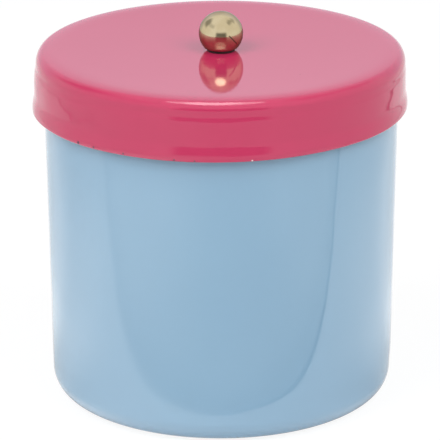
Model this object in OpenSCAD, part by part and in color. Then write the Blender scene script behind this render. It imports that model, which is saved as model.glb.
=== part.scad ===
// Storage jar with a lift-off lid.
// A drawn and enamelled steel cup with a rolled rim carries a pressed cap lid.
// A brass ball knob is screwed to the lid from underneath.
// The origin is the middle of the standing face, +Z is up, and lengths are millimetres.

/* [Jar body] */
// Outside diameter of the wall just under the rolled rim
body_rim_d = 148; // [135:0.5:190]
// Outside diameter of the wall where it leaves the base corner
body_base_d = 143; // [105:0.5:155]
// Height from the standing face to the top of the rolled rim
body_h = 147.2; // [80:0.1:240]
// Thickness of the enamelled sheet
body_t = 0.7; // [0.5:0.05:1.2]
// Outside radius of the corner between wall and base
base_corner_r = 10; // [4:0.5:16]
// Inside diameter of the curl that stiffens the rim
rim_curl_bore = 0.6; // [0.3:0.1:1.6]
// Width of the flat ring that the jar stands on
stand_ring_w = 8; // [5:0.5:15]
// Rise of the base panel above the standing ring
base_panel_h = 1.2; // [0.5:0.1:3]
// Width of the slope between the standing ring and the base panel
base_slope_w = 5; // [3:0.5:12]

/* [Lid] */
// Thickness of the enamelled sheet
lid_t = 0.7; // [0.5:0.05:1.2]
// Height from the mouth of the skirt to the top of the crown
lid_h = 23.9; // [18:0.1:45]
// Outside radius of the edge between crown and skirt
lid_edge_r = 3; // [2:0.1:5]
// How far the skirt steps outwards above its mouth
lid_flare = 0.8; // [0.3:0.1:2]
// Height of the flared part of the skirt, above the rounded hem
lid_flare_h = 6; // [4:0.5:11]
// Diameter of the rounded hem along the mouth
lid_hem_d = 1.2; // [1.2:0.1:2]
// Gap all round between the rolled rim and the skirt
lid_side_gap = 0.5; // [0.3:0.05:1]
// Gap between the rolled rim and the lid that rests on it
lid_seat_gap = 0.15; // [0.1:0.05:0.3]

/* [Knob] */
// Diameter of the ball
knob_d = 18; // [14:0.5:26]
// Diameter of the flat seat cut on the ball
knob_seat_d = 11.6; // [9:0.1:13]
// Diameter of the dark washer under the ball
seat_washer_d = 11.6; // [9:0.1:14]
// Thickness of the dark washer under the ball
seat_washer_t = 0.5; // [0.3:0.1:1.5]

/* [Screw and washers] */
// Outside diameter of the screw thread
screw_d = 4; // [3:0.5:5]
// Length of the screw under its head
screw_l = 10; // [8:1:13]
// Diameter of the pan head
screw_head_d = 8; // [7:0.1:9.5]
// Height of the pan head
screw_head_h = 3.1; // [2.4:0.1:4]
// Radius of the dome on the pan head
screw_dome_r = 5.6; // [5.4:0.1:8]
// Length of each arm of the cross recess, from tip to tip
recess_l = 4.2; // [3:0.1:5]
// Width of the arms of the cross recess
recess_w = 0.9; // [0.6:0.1:1.2]
// Depth of the cross recess
recess_h = 1.6; // [1:0.1:2]
// Outside diameter of the plain washer
flat_washer_d = 12; // [9:0.1:16]
// Thickness of the plain washer
flat_washer_t = 1; // [0.5:0.1:1.6]
// Outside diameter of the spring lock washer
lock_washer_d = 7.6; // [7:0.1:9.5]
// Thickness of the spring lock washer
lock_washer_t = 0.9; // [0.6:0.1:1.4]
// Width of the split in the spring lock washer
lock_split_w = 0.7; // [0.4:0.1:1.2]
// Slant of the split in the spring lock washer
lock_split_slant = 30; // [0:5:40]
// Gap all round between the screw and the ball's tapped hole
thread_gap = 0.05; // [0.05:0.01:0.1]
// Gap all round between the screw and the washers
washer_gap = 0.15; // [0.1:0.05:0.4]
// Gap all round between the screw and the hole in the lid
lid_hole_gap = 0.25; // [0.1:0.05:0.6]
// Spare depth of the tapped hole past the end of the screw
bore_spare = 1.2; // [0.5:0.1:2]
// Point angle of the drill that made the tapped hole
drill_angle = 118; // [90:1:140]

/* [Hidden] */
$fn = 128;

// Small overlap that lets a cut pass cleanly through a face
pass = 1;

// Rolled rim: the sheet turns outwards and down through three quarters of a circle
rim_bead_r = body_t + rim_curl_bore / 2;
rim_wall_r = body_rim_d / 2;
rim_bead_x = rim_wall_r - body_t + rim_bead_r;
rim_bead_z = body_h - rim_bead_r;
rim_out_r = rim_bead_x + rim_bead_r;

// Base of the body
base_wall_r = body_base_d / 2;
base_corner_x = base_wall_r - base_corner_r;
base_slope_x = base_corner_x - stand_ring_w;
base_panel_x = base_slope_x - base_slope_w;
base_miter = body_t * tan(atan(base_panel_h / base_slope_w) / 2);

// Lid: the bead of the rim nests inside the rounded edge, and sets the height of the crown
lid_r = rim_out_r + lid_side_gap + lid_t;
lid_edge_in_r = lid_edge_r - lid_t;
nest = lid_edge_in_r - rim_bead_r;
nest_side = max(0, nest - lid_side_gap);
nest_drop = nest_side > 0 ? nest - lid_seat_gap - sqrt(pow(nest - lid_seat_gap, 2) - pow(nest_side, 2)) : 0;
crown_under_z = body_h + lid_seat_gap + nest_drop;
crown_z = crown_under_z + lid_t;

// Places on the half section of the lid, with heights from the underside of the crown
edge_x = lid_r - lid_edge_r;
edge_h = lid_t - lid_edge_r;
hem_x = lid_r - lid_t / 2 + lid_flare;
hem_h = lid_t - lid_h + lid_hem_d / 2;
flare_top_h = hem_h + lid_flare_h;

// Straight steps along the flare of the skirt
flare_steps = 16;

// Knob and the stack that clamps it to the crown
knob_seat_z = crown_z + seat_washer_t;
knob_cut = sqrt(pow(knob_d / 2, 2) - pow(knob_seat_d / 2, 2));
knob_z = knob_seat_z + knob_cut;
flat_washer_z = crown_under_z - flat_washer_t;
lock_washer_z = flat_washer_z - lock_washer_t;
screw_end_z = lock_washer_z + screw_l;
bore_r = screw_d / 2 + thread_gap;
bore_end_z = screw_end_z + bore_spare;
drill_tip_h = bore_r / tan(drill_angle / 2);

// Quarter of a ring between two radii, in the quadrant that points along sx and sy
module quarter_ring(inner_r, outer_r, sx, sy) {
    intersection() {
        difference() {
            circle(r = outer_r);
            circle(r = inner_r);
        }
        mirror([sx < 0 ? 1 : 0, 0]) mirror([0, sy < 0 ? 1 : 0]) square(outer_r + pass);
    }
}

// Flat round washer with its lower face at z
module washer(d, t, gap, z) {
    translate([0, 0, z]) difference() {
        cylinder(d = d, h = t);
        translate([0, 0, -pass]) cylinder(r = screw_d / 2 + gap, h = t + 2 * pass);
    }
}

// Half section of the base: raised panel, slope and standing ring
module base_section() {
    polygon([
        [0, base_panel_h],
        [base_panel_x, base_panel_h],
        [base_slope_x, 0],
        [base_corner_x, 0],
        [base_corner_x, body_t],
        [base_slope_x + base_miter, body_t],
        [base_panel_x + base_miter, base_panel_h + body_t],
        [0, base_panel_h + body_t]
    ]);
}

// Half section of the leaning wall, between the base corner and the rolled rim
module wall_section() {
    polygon([
        [base_wall_r - body_t, base_corner_r],
        [base_wall_r, base_corner_r],
        [rim_wall_r, rim_bead_z],
        [rim_wall_r - body_t, rim_bead_z]
    ]);
}

// Half section of the rolled rim, open towards the wall below it
module rim_section() {
    translate([rim_bead_x, rim_bead_z]) difference() {
        circle(r = rim_bead_r);
        circle(r = rim_bead_r - body_t);
        translate([-rim_bead_r - pass, -rim_bead_r - pass]) square(rim_bead_r + pass);
    }
}

module jar_body() {
    color("#8fb8d6") rotate_extrude() {
        base_section();
        translate([base_corner_x, base_corner_r])
            quarter_ring(base_corner_r - body_t, base_corner_r, 1, -1);
        wall_section();
        rim_section();
    }
}

// Outward step of the skirt at a share of the way down its flare: a smooth S, upright at both ends
function flare_step(share) = lid_flare * (1 - cos(180 * share)) / 2;

// Half section of the flared part of the skirt, down to the hem
module flare_section() {
    inside = [
        for (i = [0 : flare_steps])
            let (share = i / flare_steps)
                [lid_r - lid_t + flare_step(share), flare_top_h - share * lid_flare_h]
    ];
    outside = [for (i = [flare_steps : -1 : 0]) inside[i] + [lid_t, 0]];
    polygon(concat(inside, outside));
}

// Half section of the lid, with the underside of its crown at height 0
module lid_section() {
    hole_r = screw_d / 2 + lid_hole_gap;
    translate([hole_r, 0]) square([edge_x - hole_r, lid_t]);
    translate([edge_x, edge_h]) quarter_ring(lid_edge_in_r, lid_edge_r, 1, 1);
    translate([lid_r - lid_t, flare_top_h]) square([lid_t, edge_h - flare_top_h]);
    flare_section();
    translate([hem_x, hem_h]) circle(d = lid_hem_d);
}

module lid_shell() {
    color("#d03a6c") translate([0, 0, crown_under_z]) rotate_extrude() lid_section();
}

module knob() {
    color("#b59a5e") difference() {
        translate([0, 0, knob_z]) sphere(d = knob_d);
        translate([0, 0, knob_seat_z - knob_d]) cylinder(d = 2 * knob_d, h = knob_d);
        translate([0, 0, knob_seat_z - pass]) cylinder(r = bore_r, h = bore_end_z - knob_seat_z + pass);
        translate([0, 0, bore_end_z]) cylinder(r1 = bore_r, r2 = 0, h = drill_tip_h);
    }
}

module knob_seat_washer() {
    color("#2b2224") washer(seat_washer_d, seat_washer_t, washer_gap, crown_z);
}

module flat_washer() {
    color("#b4b7bb") washer(flat_washer_d, flat_washer_t, washer_gap, flat_washer_z);
}

module lock_washer() {
    color("#8d9196") difference() {
        washer(lock_washer_d, lock_washer_t, washer_gap, lock_washer_z);
        translate([0, 0, lock_washer_z + lock_washer_t / 2]) rotate([lock_split_slant, 0, 0])
            translate([0, -lock_split_w / 2, -lock_washer_d / 2])
                cube([lock_washer_d, lock_split_w, lock_washer_d]);
    }
}

// Pan head with a domed top, its seat at z = 0 and its dome downwards
module screw_head() {
    rotate([180, 0, 0]) difference() {
        intersection() {
            cylinder(d = screw_head_d, h = screw_head_h);
            translate([0, 0, screw_head_h - screw_dome_r]) sphere(r = screw_dome_r);
        }
        for (turn = [0, 90]) rotate(turn)
            translate([-recess_l / 2, -recess_w / 2, screw_head_h - recess_h])
                cube([recess_l, recess_w, recess_h + pass]);
    }
}

module knob_screw() {
    color("#c3c5c8") translate([0, 0, lock_washer_z]) {
        screw_head();
        cylinder(d = screw_d, h = screw_l);
    }
}

jar_body();
lid_shell();
knob();
knob_seat_washer();
knob_screw();
flat_washer();
lock_washer();
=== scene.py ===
"""Looks of an enamelled storage jar with a lift-off lid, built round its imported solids.

The cup and the lid are drawn steel sheet under gloss enamel, and the ball knob is polished brass.
Lengths are metres, +Z is up, and the camera looks along +Y.
"""

from __future__ import annotations

import logging
import math
from dataclasses import dataclass
from enum import Enum
from functools import lru_cache
from typing import Any, Callable, Sequence

import bpy
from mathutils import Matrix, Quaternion, Vector, noise

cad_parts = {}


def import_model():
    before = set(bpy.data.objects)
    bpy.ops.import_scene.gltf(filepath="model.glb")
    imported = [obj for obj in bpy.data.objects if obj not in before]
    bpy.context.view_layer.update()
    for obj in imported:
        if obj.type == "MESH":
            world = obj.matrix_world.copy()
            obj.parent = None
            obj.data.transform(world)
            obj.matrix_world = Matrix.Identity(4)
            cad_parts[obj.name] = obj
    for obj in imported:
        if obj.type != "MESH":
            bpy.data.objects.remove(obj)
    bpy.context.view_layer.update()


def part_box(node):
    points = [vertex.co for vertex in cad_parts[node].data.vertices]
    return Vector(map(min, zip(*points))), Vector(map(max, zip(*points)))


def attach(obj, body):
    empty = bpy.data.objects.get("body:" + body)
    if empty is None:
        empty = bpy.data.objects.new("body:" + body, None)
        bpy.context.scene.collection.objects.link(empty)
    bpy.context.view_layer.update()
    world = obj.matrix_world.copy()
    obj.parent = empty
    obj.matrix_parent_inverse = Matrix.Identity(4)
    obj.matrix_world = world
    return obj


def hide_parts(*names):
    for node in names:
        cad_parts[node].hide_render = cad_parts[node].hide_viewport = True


LOG = logging.getLogger("storage_jar")
MM = 0.001
FULL_TURN = 2 * math.pi
MERGE_GAP = 0.002 * MM
SMOOTH_ANGLE = math.radians(40)
# Rim and lid stand a little higher in front, at this radius
LEAN_RADIUS = 76.5 * MM
LEAN_FRONT = 0.55 * MM
# The crown is pressed in at its middle, where the knob sits a little to the right
CROWN_SAG = 0.5 * MM
KNOB_SHIFT = 0.2 * MM

Point = tuple[float, float]
Span = tuple[float, float]
Colour = tuple[float, float, float]
Socket = bpy.types.NodeSocket


class Carrier(Enum):
    """Body of the frame that a piece rides on."""

    JAR = "jar"
    LID = "lid"


class Slot(Enum):
    """Name of the material slot of a piece."""

    BODY = "body_enamel"
    LID = "lid_enamel"
    BRASS = "knob_brass"
    RUBBER = "dark_washer"
    STEEL = "fixing_steel"


class LampUse(Enum):
    """What a lamp does: light the set, or only show in gloss."""

    LIGHT = "light"
    GLINT = "glint"


@lru_cache(maxsize=None)
def node_box(node: str) -> tuple[Vector, Vector]:
    """Give the lowest and highest corner of a node of the frame, measured once."""
    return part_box(node)


def smooth(share: float) -> float:
    """Ease a share from 0 to 1, level at both ends, and hold it outside them."""
    t = min(1.0, max(0.0, share))
    return t * t * (3 - 2 * t)


def lean(place: Vector) -> float:
    """Give the rise of the jar's rim, and of the lid on it, which stand a little higher in front."""
    return -LEAN_FRONT * place.y / LEAN_RADIUS


def widen(place: Vector, swell: float) -> Vector:
    """Move a point away from the Z axis.

    Args:
        place: The point.
        swell: How far it moves outwards.

    Returns:
        The same point, moved.
    """
    radius = math.hypot(place.x, place.y)
    if radius > 0:
        place.x *= 1 + swell / radius
        place.y *= 1 + swell / radius
    return place


def rgba(colour: Colour) -> tuple[float, float, float, float]:
    """Give a colour its full opacity."""
    return (*colour, 1.0)


class Outline:
    """Half section of a turned piece, drawn point by point as (radius, height)."""

    def __init__(self, start: Point) -> None:
        """Start the outline at a point."""
        self.points: list[Point] = [start]

    def curve(self, place: Callable[[float], Point], steps: int) -> Outline:
        """Add points that a formula places.

        Args:
            place: Gives the point at a share, from 0 to 1, of the stretch.
            steps: Number of steps along the stretch.

        Returns:
            The outline itself, so that stretches can be chained.
        """
        for i in range(steps + 1):
            point = place(i / steps)
            if math.dist(point, self.points[-1]) > MERGE_GAP:
                self.points.append(point)
        return self

    def line(self, end: Point, steps: int = 1) -> Outline:
        """Add a straight stretch.

        Args:
            end: Last point of the stretch.
            steps: Number of steps along it.

        Returns:
            The outline itself.
        """
        start = self.points[-1]
        return self.curve(
            lambda t: (start[0] + (end[0] - start[0]) * t, start[1] + (end[1] - start[1]) * t), steps
        )

    def arc(self, centre: Point, radius: float, first: float, last: float, steps: int) -> Outline:
        """Add an arc.

        Args:
            centre: Centre of the arc.
            radius: Radius of the arc.
            first: Angle where it starts, in degrees, 0 outwards and 90 upwards.
            last: Angle where it ends, in degrees.
            steps: Number of steps along it.

        Returns:
            The outline itself.
        """

        def place(t: float) -> Point:
            """Place the point at a share of the arc."""
            turn = math.radians(first + (last - first) * t)
            return centre[0] + radius * math.cos(turn), centre[1] + radius * math.sin(turn)

        return self.curve(place, steps)

    def close(self) -> Outline:
        """Lead the outline back to where it started."""
        self.points.append(self.points[0])
        return self


class Lathe:
    """Workshop that turns outlines into meshes and works on them."""

    @staticmethod
    def turn(name: str, outline: Outline, steps: int, angle: float = FULL_TURN) -> bpy.types.Object:
        """Spin a half section about the Z axis.

        Args:
            name: Name of the new object.
            outline: Half section, closed or with both ends on the axis.
            steps: Number of steps round the turn.
            angle: Angle of the turn, in radians.

        Returns:
            The new object, at the origin, with its normals outwards.
        """
        bpy.ops.object.select_all(action="DESELECT")
        bpy.ops.mesh.primitive_plane_add(size=MM)
        piece = bpy.context.object
        piece.name = name
        piece.data.name = name
        bpy.ops.object.mode_set(mode="EDIT")
        bpy.ops.mesh.merge(type="CENTER")
        radius, height = outline.points[0]
        bpy.ops.transform.translate(value=(radius, 0, height))
        for (r0, z0), (r1, z1) in zip(outline.points, outline.points[1:]):
            bpy.ops.mesh.extrude_region_move(TRANSFORM_OT_translate={"value": (r1 - r0, 0, z1 - z0)})
        bpy.ops.mesh.select_all(action="SELECT")
        bpy.ops.mesh.spin(steps=steps, angle=angle, center=(0, 0, 0), axis=(0, 0, 1))
        bpy.ops.mesh.select_all(action="SELECT")
        bpy.ops.mesh.remove_doubles(threshold=MERGE_GAP)
        bpy.ops.mesh.dissolve_degenerate(threshold=MERGE_GAP)
        if angle < FULL_TURN:
            bpy.ops.mesh.select_all(action="DESELECT")
            bpy.ops.mesh.select_non_manifold()
            bpy.ops.mesh.edge_face_add()
            bpy.ops.mesh.select_all(action="SELECT")
        bpy.ops.mesh.normals_make_consistent(inside=False)
        bpy.ops.object.mode_set(mode="OBJECT")
        return piece

    @staticmethod
    def reshape(piece: bpy.types.Object, move: Callable[[Vector], Vector]) -> None:
        """Move every vertex of a piece.

        Args:
            piece: The piece to reshape.
            move: Gives the new place of a vertex from its old one.
        """
        for vertex in piece.data.vertices:
            vertex.co = move(vertex.co.copy())
        piece.data.update()

    @staticmethod
    def cut_box(piece: bpy.types.Object, centre: Vector, size: Vector) -> None:
        """Cut a box out of a piece.

        Args:
            piece: The piece to cut.
            centre: Centre of the box.
            size: Full lengths of the box.
        """
        bpy.ops.object.select_all(action="DESELECT")
        bpy.ops.mesh.primitive_cube_add(size=1, location=centre, scale=size)
        cutter = bpy.context.object
        bpy.ops.object.select_all(action="DESELECT")
        piece.select_set(True)
        bpy.context.view_layer.objects.active = piece
        cut = piece.modifiers.new("cut", "BOOLEAN")
        cut.operation = "DIFFERENCE"
        cut.solver = "EXACT"
        cut.object = cutter
        bpy.ops.object.modifier_apply(modifier=cut.name)
        bpy.data.objects.remove(cutter)

    @staticmethod
    def dress(
        piece: bpy.types.Object, finish: bpy.types.Material, carrier: Carrier, slot: Slot, *nodes: str
    ) -> bpy.types.Object:
        """Shade a finished mesh, give it its material and tie it to the frame.

        Args:
            piece: The finished mesh.
            finish: Its material.
            carrier: Body that it rides on.
            slot: Its material slot. It is not used.
            nodes: Nodes of the frame that it stands for.

        Returns:
            The piece.
        """
        bpy.ops.object.select_all(action="DESELECT")
        piece.select_set(True)
        bpy.context.view_layer.objects.active = piece
        bpy.ops.object.shade_smooth_by_angle(angle=SMOOTH_ANGLE)
        piece.data.materials.clear()
        piece.data.materials.append(finish)
        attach(piece, carrier.value)
        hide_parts(*nodes)
        LOG.info("%s: %d faces, rides on %s", piece.name, len(piece.data.polygons), carrier.value)
        return piece


class NodeKit:
    """Adds and links nodes in one node tree."""

    def __init__(self, tree: bpy.types.NodeTree) -> None:
        """Work on a node tree."""
        self.tree = tree

    def add(self, kind: str, inputs: dict[Any, Any] | None = None, **settings: Any) -> bpy.types.Node:
        """Add a node.

        Args:
            kind: Blender's name for the kind of node.
            inputs: Sockets or plain values, by the name or number of the input.
            settings: Properties of the node.

        Returns:
            The new node.
        """
        node = self.tree.nodes.new(kind)
        for key, value in settings.items():
            setattr(node, key, value)
        for key, value in (inputs or {}).items():
            if isinstance(value, Socket):
                self.tree.links.new(value, node.inputs[key])
            else:
                node.inputs[key].default_value = value
        return node

    def math(self, operation: str, first: Any, second: Any = 0.0) -> Socket:
        """Work on one or two values, each a socket or a plain number."""
        return self.add("ShaderNodeMath", {0: first, 1: second}, operation=operation).outputs[0]

    def product(self, first: Any, *others: Any) -> Socket:
        """Multiply values.

        Args:
            first: First value, a socket or a plain number.
            others: The other values, likewise.

        Returns:
            Their product.
        """
        for other in others:
            first = self.math("MULTIPLY", first, other)
        return first

    def rest(self, share: Any) -> Socket:
        """Give what a share leaves of 1."""
        return self.math("SUBTRACT", 1.0, share)

    def vector(self, operation: str, first: Any, second: Any) -> bpy.types.Node:
        """Work on two vectors, each a socket or a plain vector."""
        return self.add("ShaderNodeVectorMath", {0: first, 1: second}, operation=operation)

    def ease(self, value: Any, low: float, high: float, first: float, last: float) -> Socket:
        """Map a value smoothly from the span low to high to the span first to last."""
        inputs = {"Value": value, "From Min": low, "From Max": high, "To Min": first, "To Max": last}
        return self.add("ShaderNodeMapRange", inputs, interpolation_type="SMOOTHSTEP").outputs["Result"]

    def rise(self, value: Any, span: Span) -> Socket:
        """Give 0 before a span and 1 past it, with a soft step between."""
        return self.ease(value, *span, 0.0, 1.0)

    def fall(self, value: Any, span: Span) -> Socket:
        """Give 1 before a span and 0 past it, with a soft step between."""
        return self.ease(value, *span, 1.0, 0.0)

    def cloud(self, place: Any, scale: Any, detail: float = 2.0) -> Socket:
        """Read a soft noise at a place, with its scale in features a metre."""
        node = self.add("ShaderNodeTexNoise", {"Vector": place, "Scale": scale, "Detail": detail})
        return node.outputs["Fac"]

    # A Mix node has its sockets for numbers at 2 and 3, and those for colours at 6 and 7
    def mix(self, share: Any, first: Any, second: Any) -> Socket:
        """Mix two values, each a socket or a plain number."""
        return self.add("ShaderNodeMix", {0: share, 2: first, 3: second}).outputs[0]

    def blend(self, share: Any, first: Any, second: Any) -> Socket:
        """Mix two colours, each a socket or a plain colour."""
        return self.add("ShaderNodeMix", {0: share, 6: first, 7: second}, data_type="RGBA").outputs[2]


class SharedEffects:
    """Shader node groups that more than one finish uses."""

    cloud_span: Span = (0.3, 0.7)

    @staticmethod
    def start(
        name: str, inputs: dict[str, float], outputs: Sequence[str]
    ) -> tuple[bpy.types.NodeTree, bpy.types.Node, bpy.types.Node]:
        """Start a node group that reads a place and some numbers.

        Args:
            name: Name of the group.
            inputs: First value of each number, by name.
            outputs: Names of the masks that it puts out.

        Returns:
            The group, its input node and its output node.
        """
        group = bpy.data.node_groups.new(name, "ShaderNodeTree")
        group.interface.new_socket("Place", in_out="INPUT", socket_type="NodeSocketVector")
        for label, value in inputs.items():
            socket = group.interface.new_socket(label, in_out="INPUT", socket_type="NodeSocketFloat")
            socket.default_value = value
        for label in outputs:
            group.interface.new_socket(label, in_out="OUTPUT", socket_type="NodeSocketFloat")
        return group, group.nodes.new("NodeGroupInput"), group.nodes.new("NodeGroupOutput")

    @classmethod
    def mottle(cls) -> bpy.types.NodeTree:
        """Make the effect of uneven colour, gloss and skin that every finish shares.

        Returns:
            A group with a broad mask, a fine mask and a height, each from 0 to 1.
        """
        scales = {"Broad": 20.0, "Fine": 200.0, "Skin": 600.0}
        masks = ("Broad Mask", "Fine Mask", "Height")
        group, given, made = cls.start("mottle", scales, masks)
        kit = NodeKit(group)
        for scale, mask in zip(scales, masks):
            cloud = kit.cloud(given.outputs["Place"], given.outputs[scale])
            group.links.new(kit.rise(cloud, cls.cloud_span), made.inputs[mask])
        return group

    @classmethod
    def specks(cls) -> bpy.types.NodeTree:
        """Make the effect of small scattered specks, such as pinholes or dust.

        Returns:
            A group with one mask, 1 inside a speck.
        """
        group, given, made = cls.start("specks", {"Cells": 60.0, "Size": 0.02, "Rarity": 0.7}, ["Mask"])
        kit = NodeKit(group)
        inputs = {"Vector": given.outputs["Place"], "Scale": given.outputs["Cells"]}
        cells = kit.add("ShaderNodeTexVoronoi", inputs)
        draw = kit.add("ShaderNodeSeparateColor", {0: cells.outputs["Color"]})
        chosen = kit.math("GREATER_THAN", draw.outputs[0], given.outputs["Rarity"])
        size = kit.product(given.outputs["Size"], draw.outputs[1])
        inside = kit.math("LESS_THAN", cells.outputs["Distance"], size)
        group.links.new(kit.product(chosen, inside), made.inputs["Mask"])
        return group


@dataclass(frozen=True)
class Grain:
    """Unevenness of a finish: its scales in features a metre, and how its skin stands out."""

    broad: float
    fine: float
    skin: float
    strength: float
    depth: float


class Coat:
    """Material under way, with what every finish has: patches of colour and gloss, and an uneven skin."""

    def __init__(self, name: str, mottle: bpy.types.NodeTree, grain: Grain) -> None:
        """Start the material.

        Args:
            name: Its name.
            mottle: Shared effect of uneven colour and skin.
            grain: Its unevenness.
        """
        self.material = bpy.data.materials.new(name)
        self.material.use_nodes = True
        self.grain = grain
        self.kit = NodeKit(self.material.node_tree)
        self.shader = self.material.node_tree.nodes["Principled BSDF"]
        self.place = self.kit.add("ShaderNodeTexCoord").outputs["Object"]
        inputs = {"Place": self.place, "Broad": grain.broad, "Fine": grain.fine, "Skin": grain.skin}
        self.skin = self.kit.add("ShaderNodeGroup", inputs, node_tree=mottle)

    def colours(self, first: Colour, second: Colour) -> Socket:
        """Spread two colours over the piece in broad patches."""
        return self.kit.blend(self.skin.outputs["Broad Mask"], rgba(first), rgba(second))

    def roughness(self, span: Span) -> Socket:
        """Spread a span of roughness over the piece in fine patches."""
        return self.kit.ease(self.skin.outputs["Fine Mask"], 0.0, 1.0, *span)

    def finish(self, colour: Socket, rough: Socket) -> bpy.types.Material:
        """Give the shader its colour, roughness and skin.

        Args:
            colour: Colour over the surface.
            rough: Roughness over the surface.

        Returns:
            The finished material.
        """
        relief = {
            "Height": self.skin.outputs["Height"],
            "Strength": self.grain.strength,
            "Distance": self.grain.depth,
        }
        normal = self.kit.add("ShaderNodeBump", relief).outputs["Normal"]
        for label, socket in (("Base Color", colour), ("Roughness", rough), ("Normal", normal)):
            self.kit.tree.links.new(socket, self.shader.inputs[label])
        return self.material


class ChipTone(Enum):
    """Colour of a spot where the enamel has broken away."""

    DARK = (0.08, 0.02, 0.05)
    DIM = (0.10, 0.02, 0.05)
    BROWN = (0.12, 0.03, 0.06)
    PALE = (0.85, 0.72, 0.74)


@dataclass(frozen=True)
class Chip:
    """Spot on the mouth of the lid where the enamel has broken away."""

    azimuth: float
    size: float
    tone: ChipTone

    def centre(self, radius: float, height: float) -> Vector:
        """Place the chip on the edge of the mouth, with azimuth 0 towards the camera and + to its right."""
        turn = math.radians(self.azimuth)
        return Vector((radius * math.sin(turn), -radius * math.cos(turn), height))


@dataclass(frozen=True)
class Enamel:
    """Gloss enamel on steel sheet."""

    name: str
    colour: Colour
    deep: Colour
    speck: Colour
    gloss: Span = (0.035, 0.07)
    refraction: float = 1.5
    grain: Grain = Grain(broad=14.0, fine=120.0, skin=420.0, strength=0.5, depth=0.004 * MM)
    speck_cells: float = 55.0
    speck_size: float = 0.018
    speck_rarity: float = 0.72
    chip_grain: float = 1500.0
    chip_core: float = 0.6
    chip_ragged: float = 0.8
    chip_rough: float = 0.6

    def material(
        self,
        mottle: bpy.types.NodeTree,
        specks: bpy.types.NodeTree,
        chips: Sequence[tuple[Vector, Chip]] = (),
    ) -> bpy.types.Material:
        """Make the material.

        Args:
            mottle: Shared effect of uneven colour and skin.
            specks: Shared effect of small specks.
            chips: Places where the enamel has broken away.

        Returns:
            The new material.
        """
        coat = Coat(self.name, mottle, self.grain)
        kit = coat.kit
        dots = {"Cells": self.speck_cells, "Size": self.speck_size, "Rarity": self.speck_rarity}
        speckled = kit.add("ShaderNodeGroup", {"Place": coat.place, **dots}, node_tree=specks)
        colour = coat.colours(self.colour, self.deep)
        colour = kit.blend(speckled.outputs["Mask"], colour, rgba(self.speck))
        rough = coat.roughness(self.gloss)
        for centre, chip in chips:
            away = kit.vector("DISTANCE", coat.place, centre).outputs["Value"]
            cloud = kit.cloud(coat.place, self.chip_grain)
            edge = kit.math("MULTIPLY_ADD", cloud, chip.size * self.chip_ragged)
            edge.node.inputs[2].default_value = chip.size * self.chip_core
            broken = kit.math("LESS_THAN", away, edge)
            colour = kit.blend(broken, colour, rgba(chip.tone.value))
            rough = kit.math("MAXIMUM", rough, kit.product(broken, self.chip_rough))
        coat.shader.inputs["IOR"].default_value = self.refraction
        return coat.finish(colour, rough)


@dataclass(frozen=True)
class Scratch:
    """Dull line worn into a ball, along a great circle between two points of its surface."""

    centre: Vector
    start: Vector
    end: Vector
    width: float
    soft: Span = (0.25, 0.75)
    start_fade: Span = (-0.05, 0.05)
    end_fade: Span = (0.85, 1.1)

    def mask(self, kit: NodeKit, place: Socket) -> Socket:
        """Give 1 on the line and 0 away from it.

        Args:
            kit: Node tree of the finish.
            place: Place on the piece.

        Returns:
            The mask.
        """
        across = (self.start - self.centre).cross(self.end - self.centre).normalized()
        along = self.end - self.start
        offset = kit.vector("SUBTRACT", place, self.start).outputs["Vector"]
        away = kit.math("ABSOLUTE", kit.vector("DOT_PRODUCT", offset, across).outputs["Value"])
        share = kit.vector("DOT_PRODUCT", offset, along / along.length_squared).outputs["Value"]
        line = kit.fall(away, (self.soft[0] * self.width, self.soft[1] * self.width))
        return kit.product(line, kit.rise(share, self.start_fade), kit.fall(share, self.end_fade))


@dataclass(frozen=True)
class Metal:
    """Bare metal, clean in some places and dull in others."""

    name: str
    clean: Colour
    dull: Colour
    gloss: Span
    grain: Grain
    rim_shine: float
    worn_shade: float = 0.35
    worn_rough: float = 0.4

    def material(self, mottle: bpy.types.NodeTree, scratches: Sequence[Scratch] = ()) -> bpy.types.Material:
        """Make the material.

        Args:
            mottle: Shared effect of uneven colour and skin.
            scratches: Dull lines worn into it.

        Returns:
            The new material.
        """
        coat = Coat(self.name, mottle, self.grain)
        kit = coat.kit
        colour = coat.colours(self.clean, self.dull)
        rough = coat.roughness(self.gloss)
        worn_colour = tuple(self.worn_shade * level for level in self.dull)
        for scratch in scratches:
            worn = scratch.mask(kit, coat.place)
            colour = kit.blend(worn, colour, rgba(worn_colour))
            rough = kit.math("MAXIMUM", rough, kit.product(worn, self.worn_rough))
        coat.shader.inputs["Metallic"].default_value = 1.0
        coat.shader.inputs["Specular Tint"].default_value = rgba((self.rim_shine,) * 3)
        return coat.finish(colour, rough)


@dataclass(frozen=True)
class Rubber:
    """Matt black rubber."""

    name: str
    colour: Colour
    bloom: Colour
    gloss: Span = (0.55, 0.75)
    grain: Grain = Grain(broad=300.0, fine=900.0, skin=2500.0, strength=0.6, depth=0.02 * MM)

    def material(self, mottle: bpy.types.NodeTree) -> bpy.types.Material:
        """Make the material, with the shared effect of uneven colour and skin."""
        coat = Coat(self.name, mottle, self.grain)
        return coat.finish(coat.colours(self.colour, self.bloom), coat.roughness(self.gloss))


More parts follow.
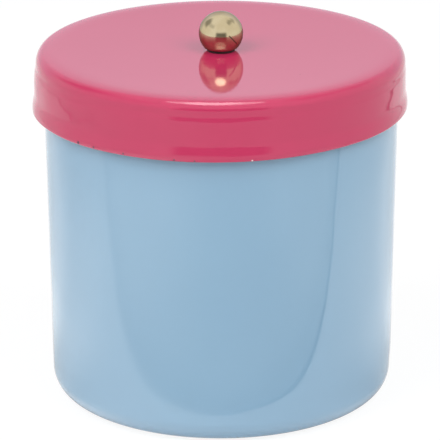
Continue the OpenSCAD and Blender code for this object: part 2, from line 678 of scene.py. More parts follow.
@dataclass
class JarBody:
    """Drawn cup with a slight taper, a rounded base corner and a rolled rim."""

    sheet: float = 0.7 * MM
    base_wall_r: float = 71.5 * MM
    corner_r: float = 10 * MM
    stand_ring_w: float = 8 * MM
    panel_h: float = 1.2 * MM
    slope_w: float = 5 * MM
    bead_r: float = 1.0 * MM
    steps: int = 320
    wave: float = 0.08 * MM
    wave_length: float = 20 * MM
    fuller: float = 0.2 * MM
    offset: float = 0.2 * MM
    lean_h: float = 20 * MM

    def panel_r(self) -> float:
        """Give the radius of the raised base panel."""
        return self.base_wall_r - self.corner_r - self.stand_ring_w - self.slope_w

    def swage(self, share: float, lift: float, out: float) -> Point:
        """Place a point on the soft step between the base panel and the standing ring.

        Args:
            share: Share of the step, 0 at the panel and 1 at the ring.
            lift: Height over the outside of the sheet.
            out: How far the step is shifted outwards.

        Returns:
            The point.
        """
        radius = self.panel_r() + out + self.slope_w * share
        return radius, node_box("jar_body")[0].z + lift + self.panel_h * (1 - smooth(share))

    def outline(self) -> Outline:
        """Draw the half section: outside from the base up, through the curl, and back down inside.

        Returns:
            The outline, with both ends on the axis.
        """
        low, high = node_box("jar_body")
        bead = (high.x - self.bead_r, high.z - self.bead_r)
        bore_r = self.bead_r - self.sheet
        corner = (self.base_wall_r - self.corner_r, low.z + self.corner_r)
        slope_r = corner[0] - self.stand_ring_w
        shift = self.sheet * math.tan(math.atan(self.panel_h / self.slope_w) / 2)
        outline = Outline((0.0, low.z + self.panel_h))
        outline.line((self.panel_r(), low.z + self.panel_h), 10)
        outline.curve(lambda t: self.swage(t, 0.0, 0.0), 10)
        outline.line((corner[0], low.z), 4)
        outline.arc(corner, self.corner_r, -90, 0, 20)
        outline.line((bead[0] - bore_r, bead[1]), 48)
        outline.arc(bead, bore_r, 180, -90, 14)
        outline.line((bead[0], bead[1] - self.bead_r))
        outline.arc(bead, self.bead_r, -90, 180, 24)
        outline.line((self.base_wall_r - self.sheet, corner[1]), 48)
        outline.arc(corner, self.corner_r - self.sheet, 0, -90, 16)
        outline.line((slope_r + shift, low.z + self.sheet), 4)
        outline.curve(lambda t: self.swage(1 - t, self.sheet, shift), 10)
        outline.line((0.0, low.z + self.panel_h + self.sheet), 10)
        return outline

    def settle(self, place: Vector) -> Vector:
        """Give the drawn wall its slight unevenness, and the rim its lean under the lid.

        Args:
            place: Point of the turned cup.

        Returns:
            The same point, moved.
        """
        low, high = node_box("jar_body")
        share = smooth((place.z - low.z - self.corner_r) / self.corner_r)
        share *= smooth((high.z - place.z) / self.corner_r)
        swell = share * (self.fuller + self.wave * noise.noise(place / self.wave_length))
        place = widen(place, swell)
        place.x += self.offset * share
        place.z += lean(place) * smooth((place.z - high.z + self.lean_h) / self.lean_h)
        return place

    def build(self, finish: bpy.types.Material) -> bpy.types.Object:
        """Turn the cup and dress it.

        Args:
            finish: Its enamel.

        Returns:
            The dressed piece.
        """
        piece = Lathe.turn("enamel_cup", self.outline(), self.steps)
        Lathe.reshape(piece, self.settle)
        return Lathe.dress(piece, finish, Carrier.JAR, Slot.BODY, "jar_body")


@dataclass
class LidShell:
    """Pressed cap with a flat crown, a rounded edge and a skirt that steps out above its mouth."""

    # Pressed form
    sheet: float = 0.7 * MM
    edge_r: float = 3 * MM
    flare: float = 0.8 * MM
    flare_h: float = 7 * MM
    lip_h: float = 0.2 * MM
    hem_r: float = 0.6 * MM
    hole_r: float = 2.25 * MM
    steps: int = 480
    # Crown, dished and rolled down to its edge
    dish: float = 0.9 * MM
    dish_r: float = 66 * MM
    roll: float = 0.65 * MM
    roll_r: float = 66 * MM
    # Skirt, sprung wider at the sides, most of all at the left, with less of a step in front
    side_start: float = 0.45
    side_width: float = 0.5
    spread: float = 0.35 * MM
    spread_low: float = 1.15
    spread_less_high: float = 0.3
    spread_less_step: float = 0.8
    left_start: float = 0.86
    left_width: float = 0.14
    left_spread: float = 0.6 * MM
    left_drop: float = 4 * MM
    left_h: float = 8 * MM
    flare_front: float = 0.42
    turned_in: float = 0.1 * MM
    turned_in_rise: float = 2.2 * MM
    turned_in_h: float = 2 * MM
    deeper_front: float = 0.85 * MM
    skew: float = 0.8 * MM
    # Enamel, which lies in waves and ripples and has run down from the edge
    wave: float = 0.05 * MM
    wave_length: float = 9 * MM
    fine_wave: float = 0.4
    fine_length: float = 0.45
    ripple: float = 0.014 * MM
    ripple_length: Vector = Vector((14 * MM, 14 * MM, 3.4 * MM))
    run: float = 0.17 * MM
    run_drop: float = 5.1 * MM
    run_h: float = 2.8 * MM
    run_wander: float = 0.8 * MM
    chip_inset: float = 0.3
    chips: tuple[Chip, ...] = (
        Chip(-48.0, 0.7 * MM, ChipTone.DIM),
        Chip(-41.5, 0.5 * MM, ChipTone.BROWN),
        Chip(-30.5, 0.5 * MM, ChipTone.DARK),
        Chip(-14.0, 0.55 * MM, ChipTone.DARK),
        Chip(-7.8, 0.5 * MM, ChipTone.BROWN),
        Chip(9.3, 0.55 * MM, ChipTone.PALE),
        Chip(10.2, 0.4 * MM, ChipTone.BROWN),
    )

    def broken_places(self) -> list[tuple[Vector, Chip]]:
        """Find the chips on the outer edge of the mouth.

        Returns:
            Each chip with its place.
        """
        low, high = node_box("lid_shell")
        inset = self.chip_inset * self.hem_r
        return [(chip.centre(high.x - inset, low.z + inset), chip) for chip in self.chips]

    def skirt_step(self, share: float, radius: float, out: float) -> Point:
        """Place a point on the S-shaped step of the skirt.

        Args:
            share: Share of the step, 0 at its top and 1 at its foot.
            radius: Radius over the step.
            out: How far it steps out.

        Returns:
            The point.
        """
        top = node_box("lid_shell")[0].z + self.hem_r + self.lip_h + self.flare_h
        return radius + out * (1 - math.cos(math.pi * share)) / 2, top - self.flare_h * share

    def outline(self) -> Outline:
        """Draw the half section: outside from the hole to the mouth, and back inside.

        Returns:
            The closed outline.
        """
        low, high = node_box("lid_shell")
        skirt_r = high.x - self.hem_r + self.sheet / 2 - self.flare
        edge = (skirt_r - self.edge_r, high.z - self.edge_r)
        hem = (high.x - self.hem_r, low.z + self.hem_r)
        swell = self.hem_r - self.sheet / 2
        outline = Outline((self.hole_r, high.z))
        outline.line((edge[0], high.z), 36)
        outline.arc(edge, self.edge_r, 90, 0, 20)
        outline.line((skirt_r, hem[1] + self.lip_h + self.flare_h), 24)
        outline.curve(lambda t: self.skirt_step(t, skirt_r, self.flare + swell), 18)
        outline.line((hem[0] + self.hem_r, hem[1]), 3)
        outline.arc(hem, self.hem_r, 0, -180, 14)
        outline.line((hem[0] - self.hem_r, hem[1] + self.lip_h), 3)
        outline.curve(lambda t: self.skirt_step(1 - t, skirt_r - self.sheet, self.flare - swell), 14)
        outline.line((skirt_r - self.sheet, edge[1]), 16)
        outline.arc(edge, self.edge_r - self.sheet, 0, 90, 12)
        outline.line((self.hole_r, high.z - self.sheet), 24)
        return outline.close()

    def crown_lift(self, radius: float, depth: float) -> float:
        """Give the rise of the dished crown and its soft roll down to the edge, none on the skirt.

        Args:
            radius: Distance from the lid's axis.
            depth: Depth under the top of the crown.

        Returns:
            The rise.
        """
        edge_start = node_box("lid_shell")[1].x - self.edge_r
        past = max(0.0, (radius - self.roll_r) / (edge_start - self.roll_r))
        lift = self.dish * (radius / self.dish_r) ** 2 - self.roll * past ** 3 - CROWN_SAG
        return lift * (1 - smooth((depth - self.edge_r) / (2 * self.edge_r)))

    def side_spread(self, sideways: float, depth: float, stepped: float) -> float:
        """Give how far a side of the skirt is sprung out.

        Args:
            sideways: Place across the lid, from -1 at its left to 1 at its right.
            depth: Depth under the top of the crown.
            stepped: Share of the skirt's step that lies above.

        Returns:
            The distance outwards.
        """
        low, high = node_box("lid_shell")
        step_top = high.z - low.z - self.hem_r - self.lip_h - self.flare_h
        height = 1 - min(1.0, max(0.0, (depth - self.edge_r) / (step_top - self.edge_r)))
        less = self.spread_less_high * height
        wide = self.spread * (self.spread_low - less - self.spread_less_step * stepped)
        leftmost = smooth((-sideways - self.left_start) / self.left_width)
        return wide + self.left_spread * leftmost * smooth((depth - self.left_drop) / self.left_h)

    def skirt_shift(self, place: Vector, radius: float, depth: float) -> float:
        """Give how far the skirt stands out: sprung wider at the sides, and with less of a step in front.

        Args:
            place: Point of the turned lid.
            radius: Its distance from the lid's axis.
            depth: Its depth under the top of the crown.

        Returns:
            The distance outwards.
        """
        low, high = node_box("lid_shell")
        height = high.z - low.z
        sideways = place.x / max(radius, MM)
        beside = smooth((abs(sideways) - self.side_start) / self.side_width)
        stepped = smooth((depth - height + self.hem_r + self.lip_h + self.flare_h) / self.flare_h)
        full_step = self.flare + self.hem_r - self.sheet / 2
        front = (1 - self.flare_front) * full_step * stepped
        front += self.turned_in * smooth((depth - height + self.turned_in_rise) / self.turned_in_h)
        return beside * self.side_spread(sideways, depth, stepped) - (1 - beside) * front

    def enamel_swell(self, place: Vector, depth: float) -> float:
        """Give how far the waves, ripples and runs of the enamel stand out.

        Args:
            place: Point of the turned lid.
            depth: Its depth under the top of the crown.

        Returns:
            The distance outwards.
        """
        swell = self.wave * noise.noise(place / self.wave_length)
        swell += self.fine_wave * self.wave * noise.noise(place / (self.fine_length * self.wave_length))
        swell += self.ripple * noise.noise(Vector(a / b for a, b in zip(place, self.ripple_length)))
        level = Vector((place.x, place.y, 0)) / (2 * self.wave_length)
        lip = self.run_drop + self.run_wander * noise.noise(level)
        return swell + self.run * smooth((depth - lip) / self.run_h)

    def settle(self, place: Vector) -> Vector:
        """Dish the crown, let the enamel on the skirt run unevenly, and lean the lid with the rim.

        Args:
            place: Point of the turned lid.

        Returns:
            The same point, moved.
        """
        low, high = node_box("lid_shell")
        radius = math.hypot(place.x, place.y)
        depth = high.z - place.z
        on_skirt = smooth((depth - 0.5 * self.edge_r) / self.edge_r)
        swell = self.enamel_swell(place, depth) + self.skirt_shift(place, radius, depth)
        down = smooth(depth / (high.z - low.z))
        place.z += self.crown_lift(radius, depth) + lean(place)
        place.z += down * (self.skew * place.x + self.deeper_front * min(0.0, place.y)) / high.x
        return widen(place, on_skirt * swell)

    def build(self, finish: bpy.types.Material) -> bpy.types.Object:
        """Turn the lid and dress it.

        Args:
            finish: Its enamel.

        Returns:
            The dressed piece.
        """
        piece = Lathe.turn("enamel_lid", self.outline(), self.steps)
        Lathe.reshape(piece, self.settle)
        return Lathe.dress(piece, finish, Carrier.LID, Slot.LID, "lid_shell")


def sunk(place: Vector) -> Vector:
    """Lower a point with the pressed-in middle of the crown, and shift it in the play of the hole.

    Args:
        place: Point of a piece that is clamped to the crown.

    Returns:
        The same point, moved.
    """
    place.x += KNOB_SHIFT
    place.z -= CROWN_SAG
    return place


def ring_outline(node: str, bore_r: float, soft: float, higher: float = 0.0) -> Outline:
    """Draw the half section of a washer with rounded edges.

    Args:
        node: Node of the frame that gives its size and place.
        bore_r: Radius of its hole.
        soft: Radius of its edges.
        higher: How far its top is raised.

    Returns:
        The closed outline.
    """
    low, high = node_box(node)
    top = high.z + higher
    outline = Outline((bore_r + soft, top))
    outline.line((high.x - soft, top), 6)
    outline.arc((high.x - soft, top - soft), soft, 90, 0, 6)
    outline.arc((high.x - soft, low.z + soft), soft, 0, -90, 6)
    outline.line((bore_r + soft, low.z), 6)
    outline.arc((bore_r + soft, low.z + soft), soft, -90, -180, 6)
    outline.arc((bore_r + soft, top - soft), soft, 180, 90, 6)
    return outline


@dataclass
class KnobStack:
    """Brass ball on its dark washer."""

    ball_r: float = 9.2 * MM
    sink: float = 0.35 * MM
    # The washer stands this much taller than the frame's part and the ball's seat is cut this much higher,
    # which widens the black band under the ball: that band is partly the washer and partly painted shade of
    # the gap under the ball.
    dark_band_lift: float = 0.7 * MM
    seat_turn: float = 1.5
    bore_r: float = 2.05 * MM
    bore_spare: float = 1.2 * MM
    drill_tip: float = 1.23 * MM
    rim_r: float = 0.15 * MM
    washer_bore_r: float = 2.15 * MM
    washer_edge: float = 0.2 * MM
    steps: int = 128
    scratch_start: Vector = Vector((3.2 * MM, -8.32 * MM, 1.24 * MM))
    scratch_end: Vector = Vector((6.5 * MM, -5.37 * MM, -3.15 * MM))
    scratch_w: float = 0.55 * MM

    def scratch(self) -> Scratch:
        """Place the scratch on the ball's front, from its middle down to the right."""
        centre = Vector((KNOB_SHIFT, 0, node_box("knob")[1].z - self.sink - self.ball_r))
        return Scratch(centre, centre + self.scratch_start, centre + self.scratch_end, self.scratch_w)

    def build_ball(self, finish: bpy.types.Material) -> bpy.types.Object:
        """Turn the ball, with its flat seat and its blind tapped hole.

        Args:
            finish: Its brass.

        Returns:
            The dressed piece.
        """
        low, high = node_box("knob")
        centre = (0.0, high.z + CROWN_SAG - self.sink - self.ball_r)
        seat = low.z + self.dark_band_lift
        bore_end = node_box("knob_screw")[1].z + self.bore_spare
        seat_angle = math.degrees(math.asin((seat - centre[1]) / self.ball_r))
        seat_r = self.ball_r * math.cos(math.radians(seat_angle))
        outline = Outline((0.0, bore_end + self.drill_tip))
        outline.line((self.bore_r, bore_end), 3)
        outline.line((self.bore_r, seat), 12)
        outline.line((seat_r - self.rim_r, seat), 4)
        outline.arc(centre, self.ball_r, seat_angle + self.seat_turn, 90, 72)
        piece = Lathe.turn("brass_ball", outline, self.steps)
        Lathe.reshape(piece, sunk)
        return Lathe.dress(piece, finish, Carrier.LID, Slot.BRASS, "knob")

    def build_washer(self, finish: bpy.types.Material) -> bpy.types.Object:
        """Turn the dark washer, with soft edges.

        Args:
            finish: Its rubber.

        Returns:
            The dressed piece.
        """
        # The washer's raised top widens its black band, which is partly painted shade under the ball.
        ring = ring_outline("knob_seat_washer", self.washer_bore_r, self.washer_edge, self.dark_band_lift)
        piece = Lathe.turn("ball_washer", ring, self.steps)
        Lathe.reshape(piece, sunk)
        return Lathe.dress(piece, finish, Carrier.LID, Slot.RUBBER, "knob_seat_washer")


@dataclass
class FixingStack:
    """Screw and washers that clamp the ball from under the crown."""

    thread_r: float = 2 * MM
    thread_depth: float = 0.4 * MM
    pitch: float = 0.7 * MM
    plain_end: float = 1.8 * MM
    plain_tip: float = 1.5
    head_edge: float = 0.3 * MM
    dome_r: float = 5.6 * MM
    recess: tuple[float, float, float] = (4.2 * MM, 0.9 * MM, 1.6 * MM)
    bore_r: float = 2.15 * MM
    plain_edge: float = 0.15 * MM
    spring_edge: float = 0.1 * MM
    split: float = 0.7 * MM
    split_slant: float = math.radians(30)
    steps: int = 64

    def screw_outline(self) -> Outline:
        """Draw the half section of the screw, from its tip down to its domed head.

        Returns:
            The outline, with both ends on the axis.
        """
        low, high = node_box("knob_screw")
        seat = node_box("lock_washer")[0].z
        head_r = high.x
        soft = self.head_edge
        dome = (0.0, low.z + self.dome_r)
        brink = math.degrees(math.acos(head_r / self.dome_r))
        outline = Outline((0.0, high.z))
        outline.line((self.thread_r - self.thread_depth, high.z), 3)
        outline.line((self.thread_r, high.z - self.thread_depth), 2)
        outline.line((self.thread_r, seat), 110)
        outline.line((head_r - soft, seat), 4)
        outline.arc((head_r - soft, seat - soft), soft, 90, 0, 6)
        outline.arc(dome, self.dome_r, -brink, -90, 24)
        return outline

    def cut_thread(self, place: Vector) -> Vector:
        """Press the helical groove of the thread into the shank.

        Args:
            place: Point of the turned screw.

        Returns:
            The same point, moved.
        """
        high = node_box("knob_screw")[1]
        seat = node_box("lock_washer")[0].z
        radius = math.hypot(place.x, place.y)
        on_shank = seat + self.plain_end < place.z < high.z - self.plain_tip * self.thread_depth
        if on_shank and abs(radius - self.thread_r) < self.thread_depth:
            turns = (place.z - seat) / self.pitch - math.atan2(place.y, place.x) / FULL_TURN
            place = widen(place, -self.thread_depth * abs(2 * (turns % 1.0) - 1))
        return place

    def lean_split(self, place: Vector) -> Vector:
        """Turn a point of the lock washer with its height, so that its split slants.

        Args:
            place: Point of the turned washer.

        Returns:
            The same point, moved.
        """
        low, high = node_box("lock_washer")
        middle = (low.z + high.z) / 2
        turn = (place.z - middle) * math.tan(self.split_slant) / self.bore_r
        turn += self.split / (2 * self.bore_r)
        x, y = place.x, place.y
        place.x = x * math.cos(turn) - y * math.sin(turn)
        place.y = x * math.sin(turn) + y * math.cos(turn)
        return place

    def build(self, finish: bpy.types.Material) -> list[bpy.types.Object]:
        """Make the screw and both washers and dress them.

        Args:
            finish: Their steel.

        Returns:
            The dressed pieces.
        """
        screw = Lathe.turn("pan_screw", self.screw_outline(), self.steps)
        Lathe.reshape(screw, self.cut_thread)
        length, width, depth = self.recess
        centre = Vector((0, 0, node_box("knob_screw")[0].z))
        Lathe.cut_box(screw, centre, Vector((length, width, 2 * depth)))
        Lathe.cut_box(screw, centre, Vector((width, length, 2 * depth)))
        Lathe.reshape(screw, sunk)
        Lathe.dress(screw, finish, Carrier.LID, Slot.STEEL, "knob_screw")
        disc = ring_outline("flat_washer", self.bore_r, self.plain_edge)
        plain = Lathe.turn("plain_washer", disc, self.steps)
        Lathe.reshape(plain, sunk)
        Lathe.dress(plain, finish, Carrier.LID, Slot.STEEL, "flat_washer")
        ring = ring_outline("lock_washer", self.bore_r, self.spring_edge)
        spring = Lathe.turn("spring_washer", ring, self.steps, FULL_TURN - self.split / self.bore_r)
        Lathe.reshape(spring, self.lean_split)
        Lathe.reshape(spring, sunk)
        Lathe.dress(spring, finish, Carrier.LID, Slot.STEEL, "lock_washer")
        return [screw, plain, spring]


@dataclass(frozen=True)
class Lamp:
    """Soft oval lamp over the set, placed by its direction from the jar."""

    name: str
    use: LampUse
    elevation: float
    azimuth: float
    distance: float
    size: tuple[float, float]
    radiance: float

    def spare(self, lamp: bpy.types.Object, pieces: Sequence[bpy.types.Object]) -> None:
        """Keep the lamp from lighting some pieces.

        Args:
            lamp: The lamp.
            pieces: Pieces that it neither lights nor shows in.
        """
        dark_side = bpy.data.collections.new(self.name + "_spares")
        for piece in pieces:
            dark_side.objects.link(piece)
        lamp.light_linking.receiver_collection = dark_side
        for entry in dark_side.collection_objects:
            entry.light_linking.link_state = "EXCLUDE"

    def build(self, aim: Vector, spared: Sequence[bpy.types.Object]) -> bpy.types.Object:
        """Set up the lamp.

        Args:
            aim: Point that it faces.
            spared: Pieces that it neither lights nor shows in.

        Returns:
            The lamp.
        """
        up, turn = math.radians(self.elevation), math.radians(self.azimuth)
        towards = Vector((math.sin(turn) * math.cos(up), -math.cos(turn) * math.cos(up), math.sin(up)))
        data = bpy.data.lights.new(self.name, "AREA")
        data.shape = "ELLIPSE"
        data.size, data.size_y = self.size
        data.energy = self.radiance * math.pi * math.pi * self.size[0] * self.size[1] / 4
        lamp = bpy.data.objects.new(self.name, data)
        lamp.location = aim + towards * self.distance
        lamp.rotation_mode = "QUATERNION"
        lamp.rotation_quaternion = towards.to_track_quat("Z", "Y")
        lamp.visible_camera = False
        lamp.visible_glossy = self.use is LampUse.GLINT
        lamp.visible_diffuse = self.use is LampUse.LIGHT
        bpy.context.scene.collection.objects.link(lamp)
        if spared:
            self.spare(lamp, spared)
        return lamp


@dataclass(frozen=True)
class Gap:
    """Place between the white panels of the set where the dark room shows, by direction in degrees."""

    azimuth: float
    elevation: float
    half_width: float
    half_height: float
    soft: float
    depth: float

    def light_left(self, kit: NodeKit, turn: Socket, rise: Socket) -> Socket:
        """Give the share of the panels' light that is left in a direction.

        Args:
            kit: Node tree of the surroundings.
            turn: Azimuth of the direction, in radians, 0 to the front and + to the right.
            rise: Elevation of the direction, in radians.

        Returns:
            1 outside the gap, and less in it.
        """
        inside: Any = self.depth
        sides = ((turn, self.azimuth, self.half_width), (rise, self.elevation, self.half_height))
        for value, centre, half in sides:
            away = kit.math("ABSOLUTE", kit.math("SUBTRACT", value, math.radians(centre)))
            edge = (math.radians(half - self.soft), math.radians(half + self.soft))
            inside = kit.product(kit.fall(away, edge), inside)
        return kit.rest(inside)


@dataclass(frozen=True)
class Panels:
    """White panels round the set, the backdrop, and the dark gaps between them, as they look in gloss."""

    panel_glow: float = 1.6
    backdrop_glow: float = 1.32
    panel_white: Colour = (0.8, 0.8, 0.8)
    backdrop_white: Colour = (0.79, 0.79, 0.89)
    backdrop_span: Span = (0.45, 0.7)
    roof_glow: float = 9.0
    roof_towards: Vector = Vector((-0.04, -0.52, 0.85))
    roof_span: Span = (0.88, 0.98)
    gaps: tuple[Gap, ...] = (
        Gap(1, -6, 27, 22, 8, 0.8),
        Gap(-112, 36, 18, 16, 9, 0.62),
        Gap(-72, 40, 26, 8, 6, 0.28),
        Gap(86, 54, 24, 9, 7, 0.45),
        Gap(118, 41, 14, 9, 6, 0.4),
    )
    second_gap: Gap = Gap(0, 15, 30, 17, 6, 0.7)
    second_mirror: float = 1.5

    def seen(self, kit: NodeKit, path: bpy.types.Node) -> Socket:
        """Map how bright the surroundings look in gloss, by direction.

        Args:
            kit: Node tree of the surroundings.
            path: Its Light Path node.

        Returns:
            The brightness, with the roof lamp and one more gap for what is seen by way of a second mirror.
        """
        towards = kit.add("ShaderNodeTexCoord").outputs["Generated"]
        at = kit.add("ShaderNodeSeparateXYZ", {0: towards})
        turn = kit.math("ARCTAN2", at.outputs["X"], kit.product(at.outputs["Y"], -1.0))
        rise = kit.math("ARCSINE", at.outputs["Z"])
        glow = kit.ease(at.outputs["Y"], *self.backdrop_span, self.panel_glow, self.backdrop_glow)
        for gap in self.gaps:
            glow = kit.product(glow, gap.light_left(kit, turn, rise))
        nearness = kit.vector("DOT_PRODUCT", towards, self.roof_towards.normalized()).outputs["Value"]
        roof = kit.rise(nearness, self.roof_span)
        twice = kit.math("GREATER_THAN", path.outputs["Glossy Depth"], self.second_mirror)
        glow = kit.product(glow, kit.mix(twice, 1.0, self.second_gap.light_left(kit, turn, rise)))
        return kit.mix(kit.product(roof, twice), glow, self.roof_glow)

    def tint(self, kit: NodeKit) -> Socket:
        """Map the colour of the surroundings: white panels, and a backdrop that is a little bluer.

        Args:
            kit: Node tree of the surroundings.

        Returns:
            The colour.
        """
        at = kit.add("ShaderNodeSeparateXYZ", {0: kit.add("ShaderNodeTexCoord").outputs["Generated"]})
        behind = kit.rise(at.outputs["Y"], self.backdrop_span)
        return kit.blend(behind, rgba(self.panel_white), rgba(self.backdrop_white))


@dataclass(frozen=True)
class FloorPlace:
    """Where a point of the floor lies, as sockets.

    Its distance and direction are from the jar, with direction 0 to the front and + to the right. The last
    four say how far it lies past the edges of the board.
    """

    x: Socket
    y: Socket
    away: Socket
    turn: Socket
    front: Socket
    left: Socket
    right: Socket
    beside: Socket


@dataclass(frozen=True)
class TableTop:
    """Pale board under the jar and the table past its edges, as bright as they look in gloss."""

    # Board, with its front edge blurred towards the left
    board_front: float = -97 * MM
    board_left: float = -455 * MM
    board_right: float = 400 * MM
    edge: Span = (0.0, 3 * MM)
    blurred_edge: Span = (-8 * MM, 14 * MM)
    sharper: Span = (-90 * MM, 60 * MM)
    middle: Span = (-60 * MM, 60 * MM)
    left_turn: Span = (math.radians(-108), math.radians(-76))
    left_glow: Span = (1.7, 2.6)
    right_turn: Span = (math.radians(85), math.radians(110))
    right_glow: Span = (1.95, 1.7)
    # Shade on the board: far off, behind the jar, near its wall, and under its foot
    far: Span = (240 * MM, 390 * MM)
    far_shade: float = 0.74
    behind_turn: Span = (math.radians(112), math.radians(142))
    behind_shade: float = 0.66
    near: Span = (72 * MM, 150 * MM)
    near_turn: Span = (0.7, 1.4)
    near_shade: float = 0.45
    foot: Span = (66 * MM, 74 * MM)
    foot_shade: float = 0.3
    # Table, with a pool of light at each side, and dim past its end
    table_glow: float = 1.15
    left_pool: Span = (-230 * MM, 10 * MM)
    left_pool_turn: Span = (-1.75, -1.3)
    left_pool_glow: float = 1.0
    right_pool: Span = (100 * MM, 220 * MM)
    right_pool_turn: Span = (1.3, 1.75)
    right_pool_glow: float = 0.4
    pool_far: Span = (330 * MM, 440 * MM)
    pool_far_share: float = 0.2
    end: Span = (-790 * MM, -670 * MM)
    end_side: Span = (0.4, 0.54)
    end_shade: float = 0.7
    # Shadow lines on the table along the board's edges
    under_edge: Span = (-2 * MM, 0.0)
    front_line: Span = (5 * MM, 9 * MM)
    front_line_across: Span = (-60 * MM, 130 * MM)
    front_line_shade: Span = (0.2, 0.95)
    front_broad: Span = (0.0, 60 * MM)
    front_broad_shade: Span = (0.17, 0.28)
    left_line: Span = (14 * MM, 22 * MM)
    left_line_shade: float = 0.3
    right_line: Span = (18 * MM, 26 * MM)
    right_line_shade: float = 0.6

    def locate(self, kit: NodeKit) -> FloorPlace:
        """Work out where a point of the floor lies.

        Args:
            kit: Node tree of the floor.

        Returns:
            Its place.
        """
        place = kit.add("ShaderNodeTexCoord").outputs["Object"]
        at = kit.add("ShaderNodeSeparateXYZ", {0: place})
        x, y = at.outputs["X"], at.outputs["Y"]
        away = kit.vector("DISTANCE", place, (0, 0, 0)).outputs["Value"]
        turn = kit.math("ARCTAN2", x, kit.product(y, -1.0))
        front = kit.math("SUBTRACT", self.board_front, y)
        left = kit.math("SUBTRACT", self.board_left, x)
        right = kit.math("SUBTRACT", x, self.board_right)
        return FloorPlace(x, y, away, turn, front, left, right, kit.math("MAXIMUM", left, right))

    def board_share(self, kit: NodeKit, at: FloorPlace) -> Socket:
        """Give 1 on the board and 0 past its edges.

        Args:
            kit: Node tree of the floor.
            at: Place on the floor.

        Returns:
            The share.
        """
        blurred, sharp = kit.fall(at.front, self.blurred_edge), kit.fall(at.front, self.edge)
        front = kit.mix(kit.rise(at.x, self.sharper), blurred, sharp)
        return kit.product(front, kit.fall(at.beside, self.edge))

    def board_light(self, kit: NodeKit, at: FloorPlace) -> Socket:
        """Map how bright the board looks.

        Args:
            kit: Node tree of the floor.
            at: Place on the floor.

        Returns:
            The brightness.
        """
        left = kit.ease(at.turn, *self.left_turn, *self.left_glow)
        right = kit.ease(at.turn, *self.right_turn, *self.right_glow)
        glow = kit.mix(kit.rise(at.x, self.middle), left, right)
        turned = kit.math("ABSOLUTE", at.turn)
        far = kit.ease(at.away, *self.far, 1.0, self.far_shade)
        behind = kit.ease(turned, *self.behind_turn, 1.0, self.behind_shade)
        near = kit.ease(at.away, *self.near, self.near_shade, 1.0)
        near = kit.mix(kit.rise(turned, self.near_turn), 1.0, near)
        return kit.product(glow, kit.math("MINIMUM", far, behind), near)

    def edge_shadow(self, kit: NodeKit, at: FloorPlace) -> Socket:
        """Map the shadow lines on the table along the board's edges.

        Args:
            kit: Node tree of the floor.
            at: Place on the floor.

        Returns:
            The share of light that they take.
        """
        line_shade = kit.ease(at.x, *self.front_line_across, *self.front_line_shade)
        line = kit.product(kit.fall(at.front, self.front_line), line_shade)
        broad_shade = kit.mix(kit.rise(at.x, self.sharper), *self.front_broad_shade)
        broad = kit.product(kit.fall(at.front, self.front_broad), broad_shade)
        front = kit.product(kit.math("MAXIMUM", line, broad), kit.rise(at.front, self.under_edge))
        front = kit.product(front, kit.fall(at.beside, self.under_edge))
        left = kit.ease(at.left, *self.left_line, self.left_line_shade, 0.0)
        left = kit.product(left, kit.rise(at.left, self.under_edge))
        right = kit.ease(at.right, *self.right_line, self.right_line_shade, 0.0)
        right = kit.product(right, kit.rise(at.right, self.under_edge))
        sides = kit.product(kit.math("MAXIMUM", left, right), kit.fall(at.front, self.under_edge))
        return kit.math("MAXIMUM", front, sides)

    def table_light(self, kit: NodeKit, at: FloorPlace) -> Socket:
        """Map how bright the table looks.

        Args:
            kit: Node tree of the floor.
            at: Place on the floor.

        Returns:
            The brightness.
        """
        left = kit.ease(at.x, *self.left_pool, self.left_pool_glow, 0.0)
        left = kit.product(left, kit.rise(at.turn, self.left_pool_turn))
        right = kit.ease(at.x, *self.right_pool, 0.0, self.right_pool_glow)
        right = kit.product(right, kit.fall(at.turn, self.right_pool_turn))
        far = kit.ease(at.away, *self.pool_far, 1.0, self.pool_far_share)
        lit = kit.math("ADD", kit.product(kit.math("ADD", left, right), far), self.table_glow)
        side = kit.math("ABSOLUTE", kit.math("DIVIDE", at.x, at.away))
        end = kit.product(kit.ease(at.y, *self.end, self.end_shade, 0.0), kit.fall(side, self.end_side))
        return kit.product(lit, kit.rest(self.edge_shadow(kit, at)), kit.rest(end))

    def seen(self, kit: NodeKit) -> Socket:
        """Map how bright the floor looks in gloss.

        Args:
            kit: Node tree of the floor.

        Returns:
            The brightness.
        """
        at = self.locate(kit)
        lit = kit.mix(self.board_share(kit, at), self.table_light(kit, at), self.board_light(kit, at))
        return kit.product(kit.ease(at.away, *self.foot, self.foot_shade, 1.0), lit)


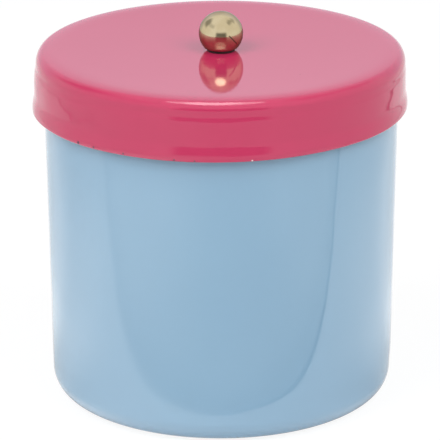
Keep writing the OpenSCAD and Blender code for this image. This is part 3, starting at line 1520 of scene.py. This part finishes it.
@dataclass
class Studio:
    """White set, lamps and camera."""

    aim: Vector = Vector((-0.42 * MM, 0, 73.1 * MM))
    camera_elevation: float = 19.36
    camera_distance: float = 1.603
    camera_roll: float = -0.17
    camera_reach: float = 100
    lens: float = 311.2
    ambient: float = 0.45
    camera_glow: float = 1.3
    floor_size: float = 8.0
    floor_drop: float = 0.1 * MM
    floor_white: float = 0.8
    floor_shade: float = 0.14
    floor_lift: float = 0.9
    panels: Panels = Panels()
    table: TableTop = TableTop()
    lamps: tuple[Lamp, ...] = (
        Lamp("left_lamp", LampUse.LIGHT, 45.5, -52, 1.5, (1.1, 1.1), 4.3),
        Lamp("right_lamp", LampUse.LIGHT, 45.5, 50, 1.5, (1.1, 1.1), 3.7),
        Lamp("roof_lamp", LampUse.GLINT, 76, -8, 1.15, (0.74, 0.8), 3.5),
        Lamp("roof_lamp_core", LampUse.GLINT, 76, -12, 1.15, (0.42, 0.7), 3.4),
    )

    def build_camera(self) -> None:
        """Place the camera at the photograph's viewing angle."""
        up = math.radians(self.camera_elevation)
        back = Vector((0, -math.cos(up), math.sin(up)))
        data = bpy.data.cameras.new("camera")
        data.lens = self.lens
        data.clip_end = self.camera_reach
        camera = bpy.data.objects.new("camera", data)
        camera.location = self.aim + back * self.camera_distance
        camera.rotation_mode = "QUATERNION"
        roll = Quaternion((0, 0, 1), math.radians(self.camera_roll))
        camera.rotation_quaternion = back.to_track_quat("Z", "Y") @ roll
        bpy.context.scene.collection.objects.link(camera)
        bpy.context.scene.camera = camera

    def build_world(self) -> None:
        """Make the surroundings: white to the camera, the panels to gloss, soft light to the rest."""
        world = bpy.data.worlds.new("white_set")
        bpy.context.scene.world = world
        world.use_nodes = True
        kit = NodeKit(world.node_tree)
        world.node_tree.nodes.clear()
        path = kit.add("ShaderNodeLightPath")
        strength = kit.mix(path.outputs["Is Glossy Ray"], self.ambient, self.panels.seen(kit, path))
        strength = kit.mix(path.outputs["Is Camera Ray"], strength, self.camera_glow)
        glow = kit.add("ShaderNodeBackground", {"Color": self.panels.tint(kit), "Strength": strength})
        kit.add("ShaderNodeOutputWorld", {"Surface": glow.outputs[0]})

    def build_floor(self) -> None:
        """Lay the pale floor, which keeps the jar's shadow and looks white to the camera."""
        bpy.ops.object.select_all(action="DESELECT")
        bpy.ops.mesh.primitive_plane_add(size=self.floor_size, location=(0, 0, -self.floor_drop))
        floor = bpy.context.object
        floor.name = "floor"
        material = bpy.data.materials.new("pale_floor")
        material.use_nodes = True
        kit = NodeKit(material.node_tree)
        material.node_tree.nodes.clear()
        path = kit.add("ShaderNodeLightPath")
        to_camera = path.outputs["Is Camera Ray"]
        tone = kit.blend(to_camera, rgba((self.floor_white,) * 3), rgba((self.floor_shade,) * 3))
        lit = kit.add("ShaderNodeBsdfDiffuse", {"Color": tone})
        raised = kit.add("ShaderNodeEmission", {"Strength": kit.product(to_camera, self.floor_lift)})
        plain = kit.add("ShaderNodeAddShader", {0: lit.outputs[0], 1: raised.outputs[0]})
        seen = kit.add("ShaderNodeEmission", {"Strength": self.table.seen(kit)})
        inputs = {0: path.outputs["Is Glossy Ray"], 1: plain.outputs[0], 2: seen.outputs[0]}
        both = kit.add("ShaderNodeMixShader", inputs)
        kit.add("ShaderNodeOutputMaterial", {"Surface": both.outputs[0]})
        floor.data.materials.append(material)

    def build(self, knob: bpy.types.Object) -> None:
        """Build the whole set.

        Args:
            knob: The ball, which the lamps that only show in gloss spare.
        """
        bpy.context.scene.view_settings.view_transform = "Standard"
        self.build_camera()
        self.build_world()
        self.build_floor()
        for lamp in self.lamps:
            lamp.build(self.aim, [knob] if lamp.use is LampUse.GLINT else [])


def main() -> None:
    """Load the frame, build and dress every piece, and build the set round them."""
    logging.basicConfig(level=logging.INFO, format="%(name)s: %(message)s")
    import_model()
    mottle = SharedEffects.mottle()
    specks = SharedEffects.specks()
    blue = Enamel("blue_enamel", (0.262, 0.437, 0.592), (0.255, 0.428, 0.585), (0.2, 0.3, 0.4))
    pink = Enamel("pink_enamel", (0.565, 0.034, 0.114), (0.55, 0.031, 0.108), (0.3, 0.015, 0.05))
    polish = Grain(broad=160.0, fine=500.0, skin=2000.0, strength=0.3, depth=0.002 * MM)
    plating = Grain(broad=250.0, fine=900.0, skin=3600.0, strength=0.3, depth=0.002 * MM)
    brass = Metal("polished_brass", (0.52, 0.44, 0.285), (0.46, 0.38, 0.23), (0.08, 0.14), polish, 0.5)
    steel = Metal("zinc_steel", (0.62, 0.63, 0.64), (0.5, 0.5, 0.5), (0.25, 0.4), plating, 1.0)
    rubber = Rubber("black_rubber", (0.012, 0.01, 0.01), (0.03, 0.026, 0.026))
    lid = LidShell()
    knob = KnobStack()
    JarBody().build(blue.material(mottle, specks))
    lid.build(pink.material(mottle, specks, lid.broken_places()))
    ball = knob.build_ball(brass.material(mottle, [knob.scratch()]))
    knob.build_washer(rubber.material(mottle))
    FixingStack().build(steel.material(mottle))
    Studio().build(ball)


if __name__ == "__main__":
    main()
